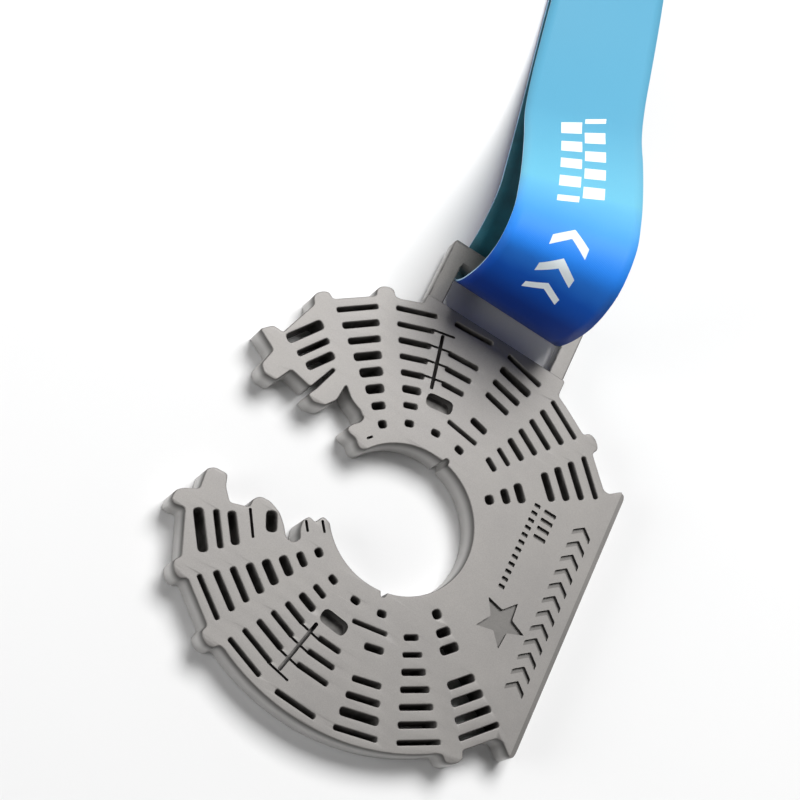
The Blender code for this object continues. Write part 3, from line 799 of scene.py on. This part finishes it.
class NodeTree:
    """Short calls for building the nodes of a new material, or of the world."""

    def __init__(self, name, world=None):
        self.owner = world or bpy.data.materials.new(name)
        self.owner.use_nodes = True
        self.tree = self.owner.node_tree

    def fill(self, node, inputs):
        """Connect sockets to a node's inputs, or set the inputs to plain numbers and colours."""
        for name, value in inputs.items():
            if isinstance(value, bpy.types.NodeSocket):
                self.tree.links.new(value, node.inputs[name])
            else:
                node.inputs[name].default_value = (*value, 1.0) if type(value) is tuple else value

    def node(self, kind, inputs=None, **settings):
        item = self.tree.nodes.new(kind)
        for key, value in settings.items():
            setattr(item, key, value)
        self.fill(item, inputs or {})
        return item

    def finish(self, inputs):
        """Fill the shader's inputs and return the material."""
        self.fill(self.tree.nodes["Principled BSDF"], inputs)
        return self.owner

    def place(self):
        """Place on the object, in metres."""
        return self.node("ShaderNodeTexCoord").outputs["Object"]

    def split(self, vector):
        """Outputs for the parts of a vector."""
        return self.node("ShaderNodeSeparateXYZ", {"Vector": vector}).outputs

    def math(self, operation, first, second=0.0, third=0.0):
        """One calculation on sockets or numbers."""
        return self.node("ShaderNodeMath", {0: first, 1: second, 2: third},
                         operation=operation).outputs[0]

    def product(self, *factors):
        """Product of several values."""
        result = factors[0]
        for factor in factors[1:]:
            result = self.math("MULTIPLY", result, factor)
        return result

    def between(self, value, low, high):
        """1 where the value lies between two numbers, otherwise 0."""
        return self.product(self.math("GREATER_THAN", value, low),
                            self.math("LESS_THAN", value, high))

    def between_smooth(self, value, start, end):
        """0 before the start and 1 after the end, with a smooth change between them."""
        return self.node("ShaderNodeMapRange", {"Value": value, "From Min": start, "From Max": end},
                         interpolation_type="SMOOTHSTEP").outputs["Result"]

    def mix(self, factor, first, second, kind="MIX"):
        """Blend of two colours or colour sockets."""
        return self.node("ShaderNodeMix", {"Factor": factor, 6: first, 7: second},
                         data_type="RGBA", blend_type=kind).outputs[2]

    def noise(self, vector, scale, detail=3.0, roughness=0.5):
        return self.node("ShaderNodeTexNoise", {"Vector": vector, "Scale": scale, "Detail": detail,
                                                "Roughness": roughness}).outputs["Fac"]

    def ramp(self, factor, stops):
        """Colour ramp with (place, colour) stops."""
        item = self.node("ShaderNodeValToRGB", {"Fac": factor})
        elements = item.color_ramp.elements
        while len(elements) < len(stops):
            elements.new(0.5)
        for element, (place, color) in zip(elements, stops):
            element.position = place
            element.color = (*color, 1.0)
        return item.outputs["Color"]

    def bump(self, height, strength, distance, normal=None):
        inputs = {"Height": height, "Strength": strength, "Distance": distance}
        if normal is not None:
            inputs["Normal"] = normal
        return self.node("ShaderNodeBump", inputs).outputs["Normal"]


def dimmed(color, share):
    """Darker shade of a colour."""
    return tuple(share * channel for channel in color)


def nickel_surface(nodes, cast, light, dark):
    """Finish that all blasted nickel shares: fine grain, cloudy patches and an uneven surface."""
    place = nodes.place()
    clouds = nodes.noise(place, 70.0, 4.0, 0.6)
    grain = nodes.noise(place, 5200.0, 2.0, 0.6)
    dimples = nodes.noise(place, 900.0, 3.0, 0.55)
    patch = nodes.ramp(clouds, ((0.3, dark), (0.7, light)))
    speckle = nodes.ramp(grain, ((0.3, (0.84, 0.84, 0.84)), (0.7, (1.0, 1.0, 1.0))))
    uneven = nodes.bump(dimples, 0.22, 0.04 * MM)
    return {"Base Color": nodes.mix(1.0, patch, speckle, "MULTIPLY"),
            "Roughness": nodes.math("MULTIPLY_ADD", clouds, 0.12, cast.roughness - 0.06),
            "Metallic": 0.5,
            "Normal": nodes.bump(grain, 0.30, 0.03 * MM, uneven)}


def nickel_material(cast):
    """Blasted nickel plate. Its side walls carry painted shade, dark just under the face, that fades
    towards their foot into a pale painted light.
    """
    nodes = NodeTree("blasted_nickel")
    surface = nickel_surface(nodes, cast, cast.color[:], cast.shade_color[:])
    facing = nodes.split(nodes.node("ShaderNodeNewGeometry").outputs["Normal"])["Z"]
    wall = nodes.between_smooth(nodes.math("ABSOLUTE", facing), 0.75, 0.25)
    height = nodes.split(nodes.place())["Z"]
    # Side walls: painted shade just under the face, fading to the pale painted light at their foot.
    painted_wall_shade = nodes.between_smooth(height, 0.45 * cast.thickness, cast.thickness)
    side = nodes.mix(painted_wall_shade, cast.wall_foot_painted_light[:], cast.painted_shade_color[:])
    surface["Base Color"] = nodes.mix(wall, surface["Base Color"], side)
    return nodes.finish(surface)


def sunk_mark_shade_material(cast):
    """Nickel darkened as painted shade on the floors of the sunk marks."""
    nodes = NodeTree("sunk_mark_painted_shade")
    return nodes.finish(nickel_surface(nodes, cast, dimmed(cast.color, 0.68),
                                       dimmed(cast.color, 0.50)))


def recess_shade_material(cast):
    """Painted shade that darkens the slots and wells, in smudged patches, thinner towards the edges.
    """
    nodes = NodeTree("recess_painted_shade")
    smudge = nodes.noise(nodes.place(), 420.0, 3.0, 0.6)
    color = nodes.ramp(smudge, ((0.3, cast.painted_shade_color[:]), (0.75, (0.24, 0.23, 0.22))))
    return nodes.finish({"Base Color": color, "Metallic": 0.35,
                         "Roughness": nodes.math("MULTIPLY_ADD", smudge, 0.2, 0.5),
                         "Normal": nodes.bump(smudge, 0.3, 0.05 * MM)})


def ribbon_places(nodes):
    """Place across the ribbon (0 to 1) and along it (in widths from the bar)."""
    parts = nodes.split(nodes.node("ShaderNodeUVMap", uv_map="ribbon").outputs["UV"])
    return parts["X"], parts["Y"]


def block_motif(nodes, across, along):
    """Finish-line motif: two columns of slanted blocks, offset like the squares of a flag."""
    slant = nodes.math("MULTIPLY_ADD", across, -0.45, along)
    lane = nodes.math("MULTIPLY", nodes.math("SUBTRACT", across, 0.30), 5.0)
    shifted = nodes.math("MULTIPLY_ADD", nodes.math("FLOOR", lane), 0.17, slant)
    step = nodes.math("FRACT", nodes.math("DIVIDE", shifted, 0.34))
    return nodes.product(nodes.between(step, 0.0, 0.56),
                         nodes.between(nodes.math("FRACT", lane), 0.06, 0.94),
                         nodes.between(across, 0.30, 0.70), nodes.between(slant, 1.80, 3.30))


def arrow_motif(nodes, across, along):
    """Three arrowheads that point along the ribbon, below the blocks."""
    fold = nodes.math("ABSOLUTE", nodes.math("SUBTRACT", across, 0.5))
    lift = nodes.math("MULTIPLY_ADD", fold, 0.75, along)
    step = nodes.math("FRACT", nodes.math("DIVIDE", nodes.math("SUBTRACT", lift, 1.08), 0.25))
    return nodes.product(nodes.between(step, 0.0, 0.34), nodes.math("LESS_THAN", fold, 0.15),
                         nodes.between(lift, 1.08, 1.75))


def satin_weave(nodes, place, across, along, ribbon):
    """Fine slanted satin threads with a little unevenness, as a height."""
    threads = ribbon.width / ribbon.weave_pitch
    slanted = nodes.math("MULTIPLY_ADD", across, 0.35, along)
    warp = nodes.math("SINE", nodes.math("MULTIPLY", slanted, threads * math.tau))
    weft = nodes.math("SINE", nodes.math("MULTIPLY", across, threads * math.tau))
    weave = nodes.math("MULTIPLY_ADD", weft, 0.5, warp)
    return nodes.math("MULTIPLY_ADD", nodes.noise(place, 1600.0, 2.0), 0.8, weave)


def printed_satin(ribbon):
    """Face of the ribbon: a navy to sky gradient with a white motif under the sheen of satin."""
    nodes = NodeTree("printed_satin")
    place = nodes.place()
    across, along = ribbon_places(nodes)
    drift = nodes.math("MULTIPLY_ADD", nodes.noise(place, 120.0, 2.0), 0.03, -0.015)
    level = nodes.math("ADD", nodes.math("DIVIDE", along, 4.0), drift)
    gradient = nodes.ramp(level, (
        (0.0, ribbon.deep_color[:]), (0.18, ribbon.deep_color[:]), (0.28, ribbon.strong_color[:]),
        (0.36, ribbon.mid_color[:]), (0.56, ribbon.light_color[:]), (0.9, ribbon.sky_color[:])))
    motif = nodes.math("MAXIMUM", block_motif(nodes, across, along),
                       arrow_motif(nodes, across, along))
    weave = satin_weave(nodes, place, across, along, ribbon)
    return nodes.finish({"Base Color": nodes.mix(motif, gradient, ribbon.print_color[:]),
                         "Roughness": 0.5, "Specular IOR Level": 0.15,
                         "Sheen Weight": 0.03, "Sheen Roughness": 0.4,
                         "Normal": nodes.bump(weave, 0.25, 0.02 * MM)})


def plain_satin(ribbon, name, color, roughness):
    """Back or edge of the ribbon: the same threads without the print."""
    nodes = NodeTree(name)
    place = nodes.place()
    mottled = nodes.ramp(nodes.noise(place, 300.0, 3.0), ((0.3, dimmed(color, 0.7)), (0.7, color)))
    weave = satin_weave(nodes, place, *ribbon_places(nodes), ribbon)
    return nodes.finish({"Base Color": mottled, "Roughness": roughness, "Sheen Weight": 0.2,
                         "Normal": nodes.bump(weave, 0.3, 0.02 * MM)})


def thread_material(ribbon):
    """Twisted polyester sewing thread."""
    nodes = NodeTree("sewing_thread")
    fibres = nodes.noise(nodes.place(), 4000.0, 2.0)
    color = ribbon.thread_color[:]
    return nodes.finish({"Base Color": nodes.ramp(fibres, ((0.3, dimmed(color, 0.6)), (0.7, color))),
                         "Roughness": 0.55, "Sheen Weight": 0.3,
                         "Normal": nodes.bump(fibres, 0.4, 0.03 * MM)})


def floor_material(color):
    """Matte paper, a little uneven in tone."""
    nodes = NodeTree("pale_floor")
    tone = nodes.noise(nodes.place(), 6.0, 2.0)
    paler = tuple(min(1.0, 1.02 * channel) for channel in color)
    return nodes.finish({"Base Color": nodes.ramp(tone, ((0.3, color), (0.7, paler))),
                         "Roughness": 0.8})


# Operators


class MEDAL_OT_casting(bpy.types.Operator):
    """Build the pierced casting with its plate and ribbon frame"""

    bl_idname = "medal.casting"
    bl_label = "Build Casting"

    def execute(self, context):
        cast = context.scene.medal_casting
        body, slots = casting_mesh(cast)
        body.data.materials.clear()
        for finish in (nickel_material, recess_shade_material, sunk_mark_shade_material):
            body.data.materials.append(finish(cast))
        mark_recesses(body.data, cast, slots)
        body.data.transform(Matrix.Translation(medal_centre()))
        body.data.shade_smooth()
        body.data.set_sharp_from_angle(angle=math.radians(38))
        even = body.modifiers.new("even_faces", "WEIGHTED_NORMAL")
        even.keep_sharp = True
        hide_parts("medal_body")
        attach(body, "medal")
        return {"FINISHED"}


class MEDAL_OT_ribbon(bpy.types.Operator):
    """Build the printed satin ribbon, threaded round the bar and folded beyond the frame"""

    bl_idname = "medal.ribbon"
    bl_label = "Build Ribbon"

    def execute(self, context):
        ribbon = context.scene.medal_ribbon
        mesh, length = ribbon_mesh(ribbon)
        mesh.transform(Matrix.Translation(medal_centre()))
        mesh.materials.append(printed_satin(ribbon))
        mesh.materials.append(plain_satin(ribbon, "satin_back", ribbon.back_color[:], 0.6))
        mesh.materials.append(plain_satin(ribbon, "satin_edge", ribbon.edge_color[:], 0.5))
        strip = add_object("neck_ribbon", mesh)
        thicken = strip.modifiers.new("thickness", "SOLIDIFY")
        thicken.thickness = ribbon.thickness
        thicken.offset = 0.0
        thicken.material_offset = 1
        thicken.material_offset_rim = 2
        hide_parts(*RIBBON_NODES)
        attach(strip, "ribbon")
        seam_shape = seam_mesh(ribbon)
        seam_shape.transform(Matrix.Translation(medal_centre()))
        seam_shape.materials.append(thread_material(ribbon))
        seam_shape.shade_smooth()
        seam = add_object("ribbon_seam", seam_shape)
        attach(seam, "ribbon")
        return {"FINISHED"}


class MEDAL_OT_stage(bpy.types.Operator):
    """Set up the pale floor, the studio lights and the camera"""

    bl_idname = "medal.stage"
    bl_label = "Build Stage"

    def execute(self, context):
        stage = context.scene.medal_stage
        build_floor(stage)
        build_lights(context)
        build_camera(context, stage)
        return {"FINISHED"}


def build_floor(stage):
    """Wide pale floor just under the medal."""
    shape = bmesh.new()
    bmesh.ops.create_grid(shape, x_segments=8, y_segments=8, size=stage.floor_size / 2)
    mesh = mesh_of_shape("floor", shape)
    mesh.materials.append(floor_material(stage.floor_color[:]))
    floor = add_object("floor", mesh)
    floor.location.z = -0.02 * MM
    floor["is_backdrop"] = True


def build_lights(context):
    """Soft studio light: a surround that is bright near the ground, a broad key and a weak fill."""
    world = context.scene.world or bpy.data.worlds.new("studio")
    context.scene.world = world
    nodes = NodeTree("studio", world)
    height = nodes.split(nodes.node("ShaderNodeTexCoord").outputs["Generated"])["Z"]
    fade = nodes.ramp(height, ((0.03, (0.85, 0.85, 0.85)), (0.6, (0.05, 0.05, 0.05))))
    nodes.fill(nodes.tree.nodes["Background"], {"Color": fade, "Strength": 1.0})
    for name, place, size, power in (("key", (0.02, 0.52, 0.95), 0.6, 14.5),
                                     ("fill", (-0.8, -0.5, 0.36), 0.5, 3.0)):
        data = bpy.data.lights.new(name, "AREA")
        data.size = size
        data.energy = power
        lamp = add_object(name, data)
        lamp.location = place
        lamp.rotation_euler = (-Vector(place)).to_track_quat("-Z", "Y").to_euler()


def build_camera(context, stage):
    """Camera that looks down on the medal from beside its lower left, turned on its line of sight."""
    tilt, azimuth = stage.tilt, stage.azimuth
    back = Vector((math.sin(tilt) * math.cos(azimuth), math.sin(tilt) * math.sin(azimuth),
                   math.cos(tilt)))
    level = Vector((0, 0, 1)).cross(back).normalized()
    upright = back.cross(level)
    right = level * math.cos(stage.roll) + upright * math.sin(stage.roll)
    up = back.cross(right)
    data = bpy.data.cameras.new("camera")
    data.lens = stage.focal_length
    data.sensor_width = 36.0
    data.clip_start = 0.01
    camera = add_object("camera", data)
    turned = Matrix((right, up, back)).transposed().to_4x4()
    target = medal_centre() + Vector(stage.look_at)
    camera.matrix_world = Matrix.Translation(target + back * stage.distance) @ turned
    context.scene.camera = camera
    context.scene.view_settings.view_transform = "Standard"


class MEDAL_PT_panel(bpy.types.Panel):
    """Sizes, colours and the build steps of the medal"""

    bl_idname = "MEDAL_PT_panel"
    bl_label = "Finisher Medal"
    bl_space_type = "VIEW_3D"
    bl_region_type = "UI"
    bl_category = "Medal"

    def draw(self, context):
        for settings, operator in ((context.scene.medal_casting, "medal.casting"),
                                   (context.scene.medal_ribbon, "medal.ribbon"),
                                   (context.scene.medal_stage, "medal.stage")):
            column = self.layout.box().column()
            for name in settings.__annotations__:
                column.prop(settings, name)
            column.operator(operator)


SETTINGS = {"medal_casting": MedalCastingSettings, "medal_ribbon": MedalRibbonSettings,
            "medal_stage": MedalStageSettings}
CLASSES = (*SETTINGS.values(), MEDAL_OT_casting, MEDAL_OT_ribbon, MEDAL_OT_stage, MEDAL_PT_panel)


def register():
    for item in CLASSES:
        bpy.utils.register_class(item)
    for name, settings in SETTINGS.items():
        setattr(bpy.types.Scene, name, PointerProperty(type=settings))


def unregister():
    for name in SETTINGS:
        delattr(bpy.types.Scene, name)
    for item in reversed(CLASSES):
        bpy.utils.unregister_class(item)


def write_sizes():
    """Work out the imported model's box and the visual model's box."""
    boxes = {"cad": CAD_BOX, "visual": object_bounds()}
    plain = {name: [list(corner) for corner in box] for name, box in boxes.items()}


def main():
    register()
    bpy.ops.medal.stage()
    bpy.ops.medal.casting()
    bpy.ops.medal.ribbon()
    write_sizes()


if __name__ == "__main__":
    main()
